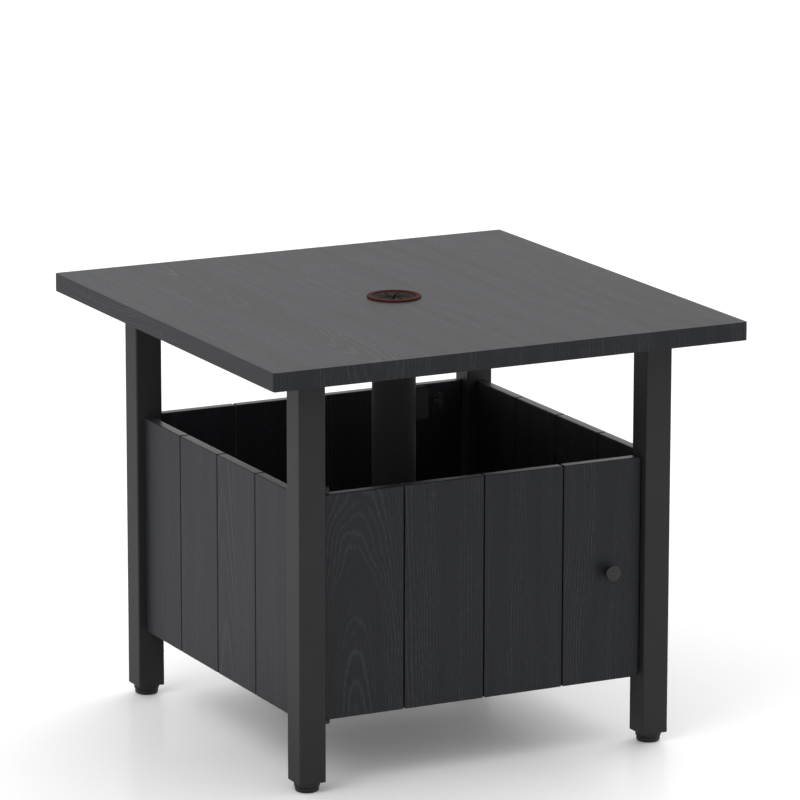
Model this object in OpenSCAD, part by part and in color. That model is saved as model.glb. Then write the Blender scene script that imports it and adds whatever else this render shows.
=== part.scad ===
// Outdoor side table: a square top with an umbrella hole over a planked
// cabinet with a swing door, on four steel legs with adjustable feet.
// Millimetres. Origin on the floor under the middle of the table,
// X along the door, Y towards the back, Z up.

/* [Top board] */
// Width of the top board, along the door
top_w = 580; // [520:2:660]
// Depth of the top board, front to back
top_d = 586; // [520:2:660]
// Thickness of the top board
top_t = 21; // [17:1:30]
// Height of the top face above the floor
table_h = 492; // [450:2:560]
// Corner radius of the top board in plan
top_corner_r = 3; // [1:0.5:12]
// Radius along the top board's edges
top_edge_r = 1.5; // [0.5:0.5:4]

/* [Steel frame] */
// How far the top board's sides stand out past the legs
top_overhang = 59.5; // [40:0.5:75]
// Side of the square leg tube
leg_size = 32; // [28:1:35]
// Wall of the leg tube
leg_wall = 1.5; // [1:0.1:3]
// Outer corner radius of the leg tube
leg_corner_r = 2; // [1.6:0.1:5]
// Width of the rails under the top
top_rail_w = 20; // [14:1:26]
// Height of the rails under the top
top_rail_h = 15; // [10:1:25]
// Side of the square rails behind the boards
rail_size = 15; // [12:1:20]
// Wall of all the rails
rail_wall = 1.2; // [0.8:0.1:2]
// Height of the low rails above the boards' lower ends
low_rail_rise = 5; // [2:1:20]
// Height of the middle rails above the boards' lower ends
mid_rail_rise = 113; // [80:1:180]

/* [Boards] */
// Height of the boards' lower ends above the floor
panel_z = 79; // [60:1:110]
// Length of the upright boards
panel_h = 254; // [210:1:280]
// Thickness of the boards
plank_t = 12; // [9:1:18]
// Number of boards on each side
planks = 4; // [3:1:4]
// Gap between neighbouring boards
plank_gap = 1.5; // [0.5:0.1:4]
// Distance of the boards' outer faces behind the legs' outer faces
panel_setback = 9; // [5:0.5:14]
// Gap between the outer boards of a fixed side and the legs
plank_end_gap = 1; // [0.3:0.1:3]
// Radius along the boards' long edges
plank_edge_r = 1.2; // [0.4:0.1:3]
// Corner radius at the boards' ends
plank_corner_r = 1.5; // [0.5:0.1:6]
// Thickness of the shelf board
shelf_t = 12; // [8:1:18]
// Gap around the shelf board
shelf_gap = 0.8; // [0.4:0.1:3]

/* [Door] */
// Gap between the door and the leg on the hinge side
door_hinge_gap = 2; // [1.8:0.1:5]
// Gap between the door and the leg on the knob side
door_free_gap = 1.2; // [1:0.1:5]
// Distance of the hinge axis inside the door's edge
hinge_inset = 5.2; // [4.5:0.1:8]
// Radius along the door's hinge edge, which turns past the leg
hinge_edge_r = 3; // [2.5:0.1:5]
// Corner radius of the whole door
door_corner_r = 4; // [1:0.5:12]
// Gap between the door's inner face and the front rail
door_stop_gap = 1.5; // [0.5:0.1:4]
// Diameter of the hinge pins
hinge_pin_d = 5; // [3:0.1:6]
// Depth of the hinge pins in the door
hinge_pin_depth = 14; // [8:1:30]
// Thickness of the hinge ears
hinge_ear_t = 4; // [2:0.5:6]
// Width of the hinge ears
hinge_ear_w = 8; // [7.5:0.5:12]
// Gap between each hinge ear and the door
hinge_ear_gap = 0.8; // [0.7:0.1:2]
// Height of the upper hinge pin's head
hinge_head_h = 3; // [1.5:0.5:5]
// Width of the door's two battens
batten_w = 30; // [20:1:45]
// Thickness of the door's two battens
batten_t = 12; // [6:1:16]
// Distance of the battens' ends from the door's edges
batten_end = 12; // [8:1:40]
// Distance of the upper batten below the door's upper edge
batten_drop = 12; // [5:1:40]
// Distance of the lower batten above the door's lower edge
batten_rise = 40; // [38:1:60]

/* [Door furniture] */
// Diameter of the knob's face
knob_d = 18.5; // [14:0.5:30]
// How far the knob stands out from the door
knob_reach = 14.5; // [12:0.5:30]
// Thickness of the knob's disc
knob_disc_t = 6; // [4:0.5:8]
// Bevel round the knob's face
knob_bevel = 1; // [0.3:0.1:2]
// Diameter of the knob's neck
knob_neck_d = 8.5; // [7:0.5:12]
// Diameter of the knob's foot on the door
knob_foot_d = 13; // [10:0.5:18]
// Distance of the knob's middle from the door's free edge
knob_inset = 41; // [25:1:60]
// Length of the magnetic catch, front to back
catch_l = 42; // [25:1:60]
// Width of the magnetic catch
catch_w = 14; // [10:1:20]
// Gap between the catch's magnet and the strike plate
catch_gap = 0.5; // [0.3:0.1:1.5]
// Thickness of the strike plate
strike_t = 1.5; // [0.8:0.1:3]

/* [Umbrella tube] */
// Outer diameter of the umbrella tube
tube_d = 50; // [46:0.5:56]
// Wall of the umbrella tube
tube_wall = 2; // [1:0.1:4]
// Diameter of the plates at the tube's two ends
flange_d = 92; // [84:1:120]
// Thickness of the plates at the tube's two ends
flange_t = 4; // [2:0.5:8]
// Wall of the collars round the tube's two ends
collar_wall = 3.4; // [2:0.1:6]
// Height of the collars round the tube's two ends
collar_h = 20; // [8:1:40]
// Circle of the plates' screws
flange_pcd = 76; // [72:1:80]
// Clearance between the tube and its collars
tube_fit = 0.1; // [0.02:0.01:0.3]

/* [Pole clamp] */
// Height of the clamp screw above the floor
clamp_z = 366.5; // [350:0.5:400]
// Width of the clamp block
boss_w = 18; // [15:0.5:26]
// Height of the clamp block
boss_h = 38; // [24:1:60]
// Distance of the clamp block's face from the tube's axis
boss_reach = 39.5; // [36:0.5:46]
// Corner radius of the clamp block
boss_r = 3; // [1:0.5:6]
// Diameter of the clamp screw
clamp_screw_d = 8; // [6:0.5:10]
// Length of bare screw between the block and the hub
clamp_free_l = 8.5; // [8.4:0.1:14]
// Length of the handle's hub
hub_l = 6; // [3:0.5:12]
// Diameter of the handle's hub
hub_d = 10.5; // [10.5:0.5:14]
// Length of the wing handle
wing_l = 21; // [16:1:40]
// Width of the wing handle
wing_w = 8; // [5:0.5:10]
// Thickness of the wing handle
wing_t = 6.6; // [4:0.2:12]
// Diameter of the pressure pad
pad_d = 11; // [11:0.5:13]
// Thickness of the pressure pad
pad_t = 3; // [2.5:0.1:4]

/* [Umbrella ring] */
// Outer diameter of the ring
ring_d = 62; // [60:0.5:76]
// Width of the ring's flange
ring_flange_w = 5.8; // [5.6:0.1:9]
// Height of the ring above the top
ring_rise = 2.2; // [1:0.1:4]
// Radius of the ring's rounded rim
ring_round_r = 1; // [0.3:0.1:1.8]
// Depth of the seat for the ring in the top
ring_recess = 0.5; // [0.3:0.1:1]
// Wall of the ring's neck
neck_wall = 2.2; // [1.5:0.1:3]
// Length of the ring's neck
neck_l = 15; // [8:1:16]
// Width of the ledge that the petal disc lies on
ledge_w = 0.8; // [0.5:0.1:1.2]
// Thickness of the petal disc
petal_t = 1.5; // [1:0.1:2]
// Depth of the petal disc's face below the ring's rim
petal_drop = 1.3; // [0.3:0.1:2]
// Number of petals
petals = 8; // [6:1:20]
// Width of the slits between the petals
slit_w = 0.6; // [0.4:0.1:1]
// Radius that the slits curve to
slit_curve_r = 26; // [18:1:60]
// Width of the whole rim outside the slits
petal_rim = 3; // [2:0.5:6]

/* [Feet] */
// Visible height of a foot under its leg
foot_h = 11.5; // [9:0.5:20]
// Diameter of the foot's collar
foot_collar_d = 29; // [24:0.5:36]
// Height of the foot's collar
foot_collar_h = 4.9; // [3:0.1:6]
// Diameter of the foot's pad
foot_pad_d = 27; // [22:0.5:40]
// Radius of the pad's lower edge
foot_edge_r = 2.2; // [0.5:0.1:3]
// Diameter of the foot's swivel neck
foot_neck_d = 12; // [10:0.5:16]
// Depth of the swivel neck in the pad
foot_neck_h = 3; // [2:0.1:4]
// Diameter of the foot's threaded rod
foot_rod_d = 8; // [6:0.5:10]
// Length of the foot's threaded rod
foot_rod_l = 30; // [22:1:60]
// Length of the plug in the leg's end
plug_l = 25; // [15:1:40]

/* [Fasteners] */
// Diameter of the wood screws
screw_d = 3.6; // [3:0.1:4.4]
// Diameter of the screws' heads
screw_head_d = 8; // [7:0.1:9]
// Height of the screws' heads
screw_head_h = 2.4; // [1.5:0.1:3]
// Depth that a screw reaches into a board
screw_bite = 9; // [5:0.5:10]
// Distance of a rail's screws from its ends
rail_screw_inset = 80; // [40:1:150]

/* [Clearances] */
// Clearance between a shaft and its hole
running_fit = 0.05; // [0.02:0.01:0.1]
// Gap at a seat between pieces that move apart
seat_gap = 0.3; // [0.1:0.05:0.6]
// Clearance between pieces that are pushed together
push_fit = 0.1; // [0.05:0.01:0.3]

/* [Hidden] */
$fn = 64;
eps = 1;

// Heights
underside_z = table_h - top_t;
low_rail_z = panel_z + low_rail_rise;
mid_rail_z = panel_z + mid_rail_rise;
shelf_z = low_rail_z + rail_size;
shelf_top_z = shelf_z + shelf_t;
panel_top_z = panel_z + panel_h;
tube_foot_z = shelf_top_z + flange_t;
// Distance over the legs, and from the middle to their axes, their inner faces and both board faces
leg_span = top_w - 2 * top_overhang;
leg_axis = leg_span / 2 - leg_size / 2;
leg_in = leg_span / 2 - leg_size;
panel_out = leg_span / 2 - panel_setback;
panel_in = panel_out - plank_t;
panel_mid = panel_out - plank_t / 2;
front_rail_out = panel_in - door_stop_gap;
// Board widths
fixed_plank_w = (2 * leg_in - 2 * plank_end_gap - (planks - 1) * plank_gap) / planks;
door_left = -leg_in + door_hinge_gap;
door_right = leg_in - door_free_gap;
door_plank_w = (door_right - door_left - (planks - 1) * plank_gap) / planks;
// Door
hinge_x = door_left + hinge_inset;
upper_ear_z = panel_top_z + hinge_ear_gap;
lower_ear_z = panel_z - hinge_ear_gap - hinge_ear_t;
lower_batten_z = panel_z + batten_rise;
upper_batten_z = panel_top_z - batten_drop - batten_w;
knob_x = door_right - knob_inset;
knob_z = panel_z + panel_h / 2;
catch_front = -panel_in + strike_t + catch_gap;
catch_x = panel_in - rail_size - catch_w;
strike_x = catch_x + catch_w / 2;
strike_screw = rail_size / 2 + screw_head_d / 2 + 1;
strike_h = 2 * strike_screw + screw_head_d + 3;
catch_z = mid_rail_z + rail_size / 2;
// Umbrella tube and its ring
bore_r = tube_d / 2 - tube_wall;
collar_r = tube_d / 2 + tube_fit + collar_wall;
ring_r = ring_d / 2;
ring_in = ring_r - ring_flange_w;
neck_in = ring_in - ledge_w;
neck_out = neck_in + neck_wall;
ring_hole_r = neck_out + seat_gap;
ledge_z = table_h + ring_rise - petal_drop - petal_t;
// Clamp: the pad lies just outside the bore
pad_x = bore_r + seat_gap;
pad_back = pad_x + pad_t;
tip_d = clamp_screw_d * 0.6;
tip_l = pad_t / 2;
chamber_r = pad_d / 2 + push_fit;
shank_x = pad_back + seat_gap;
chamber_end = shank_x + eps;
hub_x = boss_reach + clamp_free_l;
wing_x = hub_x + hub_l;
// Feet: their collars stop against the legs' ends
leg_z = foot_h;
collar_z = leg_z - seat_gap - foot_collar_h;
pad_h = collar_z - seat_gap;
neck_z = collar_z - foot_neck_h;

BOARD = [0.2, 0.205, 0.215];
STEEL = [0.24, 0.24, 0.245];
RUBBER = [0.1, 0.1, 0.1];
ZINC = [0.6, 0.6, 0.58];
RING_BROWN = [0.36, 0.12, 0.1];

// A rectangle on the origin with round corners
module round_rect(w, h, r) {
    square([w - 2 * r, h], center = true);
    square([w, h - 2 * r], center = true);
    for (x = [-1, 1], y = [-1, 1])
        translate([x * (w / 2 - r), y * (h / 2 - r)]) circle(r);
}

// A square or oblong tube along Z, standing on the origin
module box_tube(w, d, wall, r, l) {
    linear_extrude(l) difference() {
        round_rect(w, d, r);
        round_rect(w - 2 * wall, d - 2 * wall, max(r - wall, 0.3));
    }
}

// An upright board with its length along Z, its width along X and its outer
// face towards -Y; r is the radius along its long edges
module plank(w, r = plank_edge_r) {
    intersection() {
        linear_extrude(panel_h) round_rect(w, plank_t, r);
        rotate([90, 0, 0]) translate([0, panel_h / 2, 0])
            linear_extrude(plank_t + 2 * eps, center = true) round_rect(w, panel_h, plank_corner_r);
    }
}

// A wood screw whose head lies on z = 0 and whose shank runs up Z
module wood_screw(l) {
    cylinder(d = screw_d, h = l);
    translate([0, 0, -screw_head_h]) cylinder(d = screw_head_d, h = screw_head_h);
}

// Pilot hole in a board, up Z from its face at z = 0
module pilot_hole() {
    translate([0, 0, -eps]) cylinder(d = screw_d + 2 * push_fit, h = screw_bite + 2 * eps);
}

// Turns a shape made along +Z so that it points along +Y, or along +X
module point_y() { rotate([-90, 0, 0]) children(); }
module point_x() { rotate([0, 90, 0]) children(); }

// Repeats a shape at the four corners of a square with this half side
module four_corners(half) {
    for (x = [-1, 1], y = [-1, 1]) translate([x * half, y * half, 0]) children();
}

// Sideways place of board i of a row that starts at x0
function plank_x(i, x0, w) = x0 + w / 2 + (i - 1) * (w + plank_gap);
function fixed_plank_x(i) = plank_x(i, -leg_in + plank_end_gap, fixed_plank_w);
function door_plank_x(i) = plank_x(i, door_left, door_plank_w);

// Places of the screws of the top rails, and of the shelf in the side rails
rail_screws = [-leg_in + rail_screw_inset, leg_in - rail_screw_inset];

// Top board

module table_top() {
    color(BOARD) difference() {
        translate([0, 0, underside_z]) intersection() {
            linear_extrude(top_t) round_rect(top_w, top_d, top_corner_r);
            translate([0, 0, top_t / 2]) rotate([90, 0, 0])
                linear_extrude(top_d + 2 * eps, center = true) round_rect(top_w, top_t, top_edge_r);
            translate([0, 0, top_t / 2]) rotate([90, 0, 90])
                linear_extrude(top_w + 2 * eps, center = true) round_rect(top_d, top_t, top_edge_r);
        }
        translate([0, 0, underside_z - eps]) cylinder(r = ring_hole_r, h = top_t + 2 * eps);
        translate([0, 0, table_h - ring_recess]) cylinder(r = ring_r + seat_gap, h = ring_recess + eps);
        top_rail_screw_places() pilot_hole();
        translate([0, 0, underside_z]) flange_screw_places() pilot_hole();
    }
}

// Screws of the top rails, on the top board's underside
module top_rail_screw_places() {
    for (a = [0:90:270], s = rail_screws)
        translate([0, 0, underside_z]) rotate([0, 0, a]) translate([s, leg_axis, 0]) children();
}

module flange_screw_places() {
    for (a = [45:90:315]) rotate([0, 0, a]) translate([flange_pcd / 2, 0, 0]) children();
}

// Legs, plugs and feet

// Place of a leg: side -1 is left, row -1 is front
module at_leg(side, row) {
    translate([side * leg_axis, row * leg_axis, 0]) children();
}

module leg_tube() {
    translate([0, 0, leg_z]) box_tube(leg_size, leg_size, leg_wall, leg_corner_r, underside_z - leg_z);
    translate([0, 0, underside_z - 2 * leg_wall]) linear_extrude(2 * leg_wall)
        round_rect(leg_size - leg_wall, leg_size - leg_wall, leg_corner_r - leg_wall / 2);
}

module front_left_leg() {
    color(STEEL) {
        at_leg(-1, -1) leg_tube();
        hinge_ear(lower_ear_z);
        hinge_ear(upper_ear_z);
    }
}
module front_right_leg() { color(STEEL) at_leg(1, -1) leg_tube(); }
module rear_left_leg() { color(STEEL) at_leg(-1, 1) leg_tube(); }
module rear_right_leg() { color(STEEL) at_leg(1, 1) leg_tube(); }

// Ear welded to the leg's side, with the hole for a hinge pin
module hinge_ear(z) {
    ear_l = hinge_x + leg_in;
    translate([-leg_in, -panel_mid, z]) difference() {
        union() {
            translate([-leg_wall / 2, -hinge_ear_w / 2, 0]) cube([ear_l + leg_wall / 2, hinge_ear_w, hinge_ear_t]);
            translate([ear_l, 0, 0]) cylinder(d = hinge_ear_w, h = hinge_ear_t);
        }
        translate([ear_l, 0, -eps]) cylinder(d = hinge_pin_d + 2 * running_fit, h = hinge_ear_t + 2 * eps);
    }
}

// Plastic plug in each leg's end, with the thread that the foot turns in
module leg_plugs() {
    plug_size = leg_size - 2 * leg_wall - 2 * push_fit;
    color(RUBBER) four_corners(leg_axis) translate([0, 0, leg_z]) difference() {
        linear_extrude(plug_l) round_rect(plug_size, plug_size, 0.4);
        translate([0, 0, -eps]) cylinder(d = foot_rod_d + 2 * running_fit, h = plug_l + 2 * eps);
    }
}

// Threaded rod with the round collar that is turned by hand
module foot_stem() {
    translate([0, 0, neck_z]) cylinder(d = foot_neck_d, h = foot_neck_h + foot_collar_h / 2);
    translate([0, 0, collar_z]) cylinder(d = foot_collar_d, h = foot_collar_h);
    translate([0, 0, collar_z]) cylinder(d = foot_rod_d, h = foot_collar_h + foot_rod_l);
}

// Pad that stands on the floor and swivels on the stem's neck
module foot_pad() {
    difference() {
        rotate_extrude() intersection() {
            translate([0, pad_h / 2 + foot_edge_r]) round_rect(foot_pad_d, pad_h + 2 * foot_edge_r, foot_edge_r);
            square([foot_pad_d, pad_h]);
        }
        translate([0, 0, neck_z - seat_gap]) cylinder(d = foot_neck_d + 2 * running_fit, h = foot_neck_h + 2 * eps);
    }
}

module front_left_foot_stem() { color(RUBBER) at_leg(-1, -1) foot_stem(); }
module front_right_foot_stem() { color(RUBBER) at_leg(1, -1) foot_stem(); }
module rear_left_foot_stem() { color(RUBBER) at_leg(-1, 1) foot_stem(); }
module rear_right_foot_stem() { color(RUBBER) at_leg(1, 1) foot_stem(); }
module front_left_foot_pad() { color(RUBBER) at_leg(-1, -1) foot_pad(); }
module front_right_foot_pad() { color(RUBBER) at_leg(1, -1) foot_pad(); }
module rear_left_foot_pad() { color(RUBBER) at_leg(-1, 1) foot_pad(); }
module rear_right_foot_pad() { color(RUBBER) at_leg(1, 1) foot_pad(); }

// Rails

// Rail under the top at the back, between two legs
module top_rail() {
    difference() {
        translate([-leg_in, leg_axis, underside_z - top_rail_h / 2]) rotate([90, 0, 90])
            box_tube(top_rail_w, top_rail_h, rail_wall, 1.5, 2 * leg_in);
        for (s = rail_screws) translate([s, leg_axis, underside_z - top_rail_h - eps])
            cylinder(d = screw_d + 4 * push_fit, h = top_rail_h + 2 * eps);
    }
}

module rear_top_rail() { color(STEEL) top_rail(); }
module left_top_rail() { color(STEEL) rotate([0, 0, 90]) top_rail(); }
module front_top_rail() { color(STEEL) rotate([0, 0, 180]) top_rail(); }
module right_top_rail() { color(STEEL) rotate([0, 0, 270]) top_rail(); }

// Plan of the rail behind the rear boards, mitred and coped round the legs
rear_rail_plan = [
    [-leg_in, panel_in], [-leg_in, leg_in], [-panel_in + rail_size, panel_in - rail_size],
    [panel_in - rail_size, panel_in - rail_size], [leg_in, leg_in], [leg_in, panel_in]
];
// Plan of the low front rail, which stands back from the door
front_notch = front_rail_out - leg_in;
front_rail_plan = [
    [-leg_in, -front_rail_out], [leg_in, -front_rail_out], [leg_in, -leg_in],
    [panel_in - front_notch, -leg_in], [panel_in - rail_size, rail_size - front_rail_out],
    [rail_size - panel_in, rail_size - front_rail_out], [front_notch - panel_in, -leg_in], [-leg_in, -leg_in]
];
// Plan of the low rail behind the left boards, mitred at both ends
left_low_plan = [
    [-panel_in, -leg_in], [front_notch - panel_in, -leg_in], [rail_size - panel_in, rail_size - front_rail_out],
    [rail_size - panel_in, panel_in - rail_size], [-leg_in, leg_in], [-panel_in, leg_in]
];
// Plan of the middle rail behind the left boards, square against the front leg
left_mid_plan = [
    [-panel_in, -leg_in], [rail_size - panel_in, -leg_in], [rail_size - panel_in, panel_in - rail_size],
    [-leg_in, leg_in], [-panel_in, leg_in]
];

// Hollow rail of this plan; x or y is the middle of the channel through it
module plan_rail(plan, z, along_x, middle) {
    bore_size = rail_size - 2 * rail_wall;
    channel = along_x ? [3 * leg_span, bore_size, bore_size] : [bore_size, 3 * leg_span, bore_size];
    place = along_x ? [0, middle, z + rail_size / 2] : [middle, 0, z + rail_size / 2];
    difference() {
        translate([0, 0, z]) linear_extrude(rail_size) polygon(plan);
        translate(place) cube(channel, center = true);
    }
}

// Clearance holes through the rear rail for the boards' screws
module rear_screw_holes(z) {
    for (i = [1:planks]) translate([fixed_plank_x(i), panel_in + eps, z + rail_size / 2])
        rotate([90, 0, 0]) cylinder(d = screw_d + 4 * push_fit, h = rail_size + 2 * eps);
}

module rear_rail(z) {
    color(STEEL) difference() {
        plan_rail(rear_rail_plan, z, true, panel_in - rail_size / 2);
        rear_screw_holes(z);
    }
}

// Side rail, with holes for the boards' screws and for the shelf's
module left_rail(plan, z, shelf_holes) {
    difference() {
        plan_rail(plan, z, false, rail_size / 2 - panel_in);
        rotate([0, 0, 90]) rear_screw_holes(z);
        if (shelf_holes) for (s = rail_screws)
            translate([rail_size / 2 - panel_in, s, z - eps]) cylinder(d = screw_d + 4 * push_fit, h = rail_size + 2 * eps);
    }
}

module rear_low_rail() { rear_rail(low_rail_z); }
module rear_mid_rail() { rear_rail(mid_rail_z); }
module front_low_rail() { color(STEEL) plan_rail(front_rail_plan, low_rail_z, true, rail_size / 2 - front_rail_out); }
module left_low_rail() { color(STEEL) left_rail(left_low_plan, low_rail_z, true); }
module right_low_rail() { color(STEEL) mirror([1, 0, 0]) left_rail(left_low_plan, low_rail_z, true); }
module left_mid_rail() { color(STEEL) left_rail(left_mid_plan, mid_rail_z, false); }
module right_mid_rail() {
    color(STEEL) difference() {
        mirror([1, 0, 0]) left_rail(left_mid_plan, mid_rail_z, false);
        catch_screw_places() pilot_hole();
    }
}

// Boards of the fixed sides

// Board of the rear side, with the pilot holes of its two screws
module rear_board(i) {
    translate([fixed_plank_x(i), panel_mid, panel_z]) difference() {
        rotate([0, 0, 180]) plank(fixed_plank_w);
        for (z = [low_rail_rise, mid_rail_rise])
            translate([0, -plank_t / 2, z + rail_size / 2]) point_y() pilot_hole();
    }
}

module rear_plank(i) { color(BOARD) rear_board(i); }
module left_plank(i) { color(BOARD) rotate([0, 0, 90]) rear_board(i); }
module right_plank(i) { color(BOARD) mirror([1, 0, 0]) rotate([0, 0, 90]) rear_board(i); }

// Shelf board on the low rails, cut out round the legs
module shelf_board() {
    side = panel_in - shelf_gap;
    notch = leg_in - shelf_gap;
    color(BOARD) difference() {
        translate([-side, -front_rail_out, shelf_z]) cube([2 * side, front_rail_out + side, shelf_t]);
        for (x = [-1, 1], y = [-1, 1]) translate([x * (notch + leg_size / 2), y * (notch + leg_size / 2), shelf_z])
            cube([leg_size, leg_size, 3 * shelf_t], center = true);
        for (x = [-1, 1], s = rail_screws)
            translate([x * (panel_in - rail_size / 2), s, shelf_z]) pilot_hole();
        translate([0, 0, shelf_top_z]) flange_screw_places() mirror([0, 0, 1]) pilot_hole();
    }
}

// Door

module door_outline() {
    translate([(door_left + door_right) / 2, -panel_mid, knob_z]) rotate([90, 0, 0])
        linear_extrude(plank_t + 2 * eps, center = true) round_rect(door_right - door_left, panel_h, door_corner_r);
}

// Holes in the door's boards: hinge pins, battens' screws, knob and strike
module door_holes() {
    for (z = [panel_z - eps, panel_top_z - hinge_pin_depth - eps]) translate([hinge_x, -panel_mid, z])
        cylinder(d = hinge_pin_d + 2 * running_fit, h = hinge_pin_depth + 2 * eps);
    for (i = [1:planks], z = [lower_batten_z, upper_batten_z])
        translate([door_plank_x(i), -panel_in, z + batten_w / 2]) rotate([90, 0, 0]) pilot_hole();
    translate([knob_x, -panel_in + eps, knob_z]) rotate([90, 0, 0])
        cylinder(d = screw_d + 4 * push_fit, h = plank_t + 2 * eps);
    strike_screw_places() rotate([90, 0, 0]) pilot_hole();
}

module strike_screw_places() {
    for (s = [-1, 1]) translate([strike_x, -panel_in, catch_z + s * strike_screw]) children();
}

// Board of the door; the one at the hinge has a rounder edge, to turn past the leg
module door_plank(i) {
    color(BOARD) difference() {
        intersection() {
            translate([door_plank_x(i), -panel_mid, panel_z]) plank(door_plank_w, i == 1 ? hinge_edge_r : plank_edge_r);
            door_outline();
        }
        door_holes();
    }
}

// Batten across the back of the door's boards
module door_batten(z) {
    l = door_right - door_left - 2 * batten_end;
    translate([door_left + batten_end, -panel_in, z]) difference() {
        translate([l / 2, batten_t / 2, batten_w / 2]) rotate([0, 90, 0])
            linear_extrude(l, center = true) round_rect(batten_w, batten_t, plank_edge_r);
        for (i = [1:planks]) translate([door_plank_x(i) - door_left - batten_end, -eps, batten_w / 2])
            point_y() cylinder(d = screw_d + 4 * push_fit, h = batten_t + 2 * eps);
    }
}

module door_upper_batten() { color(BOARD) door_batten(upper_batten_z); }
module door_lower_batten() { color(BOARD) door_batten(lower_batten_z); }

// Turned knob: foot, waisted neck and a flat disc with a bevelled face
module door_knob() {
    neck_l = knob_reach - knob_disc_t;
    waist_r = neck_l / 2;
    color(STEEL) translate([knob_x, -panel_out, knob_z]) rotate([90, 0, 0]) difference() {
        rotate_extrude() {
            difference() {
                square([knob_foot_d / 2, neck_l]);
                translate([knob_neck_d / 2 + waist_r, neck_l / 2 + knob_foot_d / 16]) circle(waist_r);
            }
            translate([0, neck_l]) polygon([
                [0, 0], [knob_d / 2 - knob_bevel / 2, 0], [knob_d / 2, knob_bevel / 2],
                [knob_d / 2, knob_disc_t - knob_bevel], [knob_d / 2 - knob_bevel, knob_disc_t], [0, knob_disc_t]
            ]);
        }
        translate([0, 0, -eps]) cylinder(d = screw_d + 2 * push_fit, h = screw_bite + 2 * eps);
    }
}

// Screws on the door: battens, knob and strike plate
module door_screws() {
    color(ZINC) {
        for (i = [1:planks], z = [lower_batten_z, upper_batten_z])
            translate([door_plank_x(i), batten_t - panel_in, z + batten_w / 2]) rotate([90, 0, 0])
                wood_screw(batten_t + screw_bite);
        translate([knob_x, -panel_in, knob_z]) rotate([90, 0, 0]) wood_screw(plank_t + screw_bite);
        strike_screw_places() translate([0, strike_t, 0]) rotate([90, 0, 0]) wood_screw(strike_t + screw_bite);
    }
}

// Lower pin with the shoulder that the door stands on, and upper pin with a
// head on its ear
module hinge_pins() {
    color(ZINC) translate([hinge_x, -panel_mid, 0]) {
        translate([0, 0, lower_ear_z]) cylinder(d = hinge_pin_d, h = hinge_ear_t + hinge_ear_gap + hinge_pin_depth);
        translate([0, 0, lower_ear_z + hinge_ear_t]) cylinder(d = hinge_ear_w - 1, h = hinge_ear_gap - seat_gap);
        translate([0, 0, panel_top_z - hinge_pin_depth])
            cylinder(d = hinge_pin_d, h = hinge_pin_depth + hinge_ear_gap + hinge_ear_t + hinge_head_h / 2);
        translate([0, 0, upper_ear_z + hinge_ear_t]) cylinder(d = hinge_ear_w - 1, h = hinge_head_h);
    }
}

// Magnetic catch on the middle rail, its magnet towards the door
module catch_body() {
    color(RUBBER) translate([catch_x + catch_w / 2, catch_front, catch_z]) difference() {
        rotate([-90, 0, 0]) linear_extrude(catch_l) round_rect(catch_w, rail_size, 1.5);
        translate([-catch_x - catch_w / 2, -catch_front, -catch_z]) catch_screw_places() translate([0, 0, -catch_w - eps])
            cylinder(d = screw_d + 4 * push_fit, h = catch_w + 2 * eps);
    }
}

// Two screws through the catch into the rail, at the rail's inner face
module catch_screw_places() {
    for (y = [0.4, 0.8]) translate([panel_in - rail_size, catch_front + y * catch_l, catch_z]) point_x() children();
}

module catch_strike() {
    color(ZINC) translate([strike_x, -panel_in, catch_z]) difference() {
        rotate([-90, 0, 0]) linear_extrude(strike_t) round_rect(catch_w, strike_h, 2);
        translate([-strike_x, panel_in, -catch_z]) strike_screw_places() translate([0, -eps, 0]) point_y()
            cylinder(d = screw_d + 4 * push_fit, h = strike_t + 2 * eps);
    }
}

// Umbrella tube

module clamp_axis() { translate([0, 0, clamp_z]) point_x() children(); }

module umbrella_tube() {
    color(STEEL) difference() {
        translate([0, 0, tube_foot_z]) cylinder(d = tube_d, h = underside_z - tube_foot_z);
        translate([0, 0, tube_foot_z - eps]) cylinder(r = bore_r, h = underside_z - tube_foot_z + 2 * eps);
        clamp_axis() cylinder(r = chamber_r, h = tube_d);
    }
}

// Round plate with a collar that holds one end of the tube; floor closes it
module tube_plate(floor) {
    difference() {
        union() {
            cylinder(d = flange_d, h = flange_t);
            cylinder(r = collar_r, h = flange_t + collar_h);
        }
        translate([0, 0, floor ? flange_t : -eps]) cylinder(d = tube_d + 2 * tube_fit, h = flange_t + collar_h + 2 * eps);
        flange_screw_places() translate([0, 0, -eps]) cylinder(d = screw_d + 4 * push_fit, h = flange_t + 2 * eps);
    }
}

module tube_foot_socket() { color(STEEL) translate([0, 0, shelf_top_z]) tube_plate(true); }
module tube_head_flange() { color(STEEL) translate([0, 0, underside_z]) mirror([0, 0, 1]) tube_plate(false); }

// Block welded to the tube, bored for the clamp screw and its pad
module clamp_block() {
    color(STEEL) difference() {
        clamp_axis() linear_extrude(boss_reach) round_rect(boss_h, boss_w, boss_r);
        translate([0, 0, clamp_z - boss_h]) cylinder(r = tube_d / 2 + push_fit, h = 2 * boss_h);
        clamp_axis() {
            cylinder(r = chamber_r, h = chamber_end);
            cylinder(d = clamp_screw_d + 2 * running_fit, h = boss_reach + eps);
        }
    }
}

// Screw with a turned tip, a hub and a wing handle
module clamp_screw() {
    color(RUBBER) clamp_axis() {
        translate([0, 0, shank_x - tip_l]) cylinder(d = tip_d, h = tip_l + eps);
        translate([0, 0, shank_x]) cylinder(d = clamp_screw_d, h = hub_x - shank_x + eps);
        translate([0, 0, hub_x]) cylinder(d = hub_d, h = hub_l + wing_t / 2);
        translate([0, 0, wing_x]) linear_extrude(wing_t) round_rect(wing_l, wing_w, wing_w / 2 - 0.2);
    }
}

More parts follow.
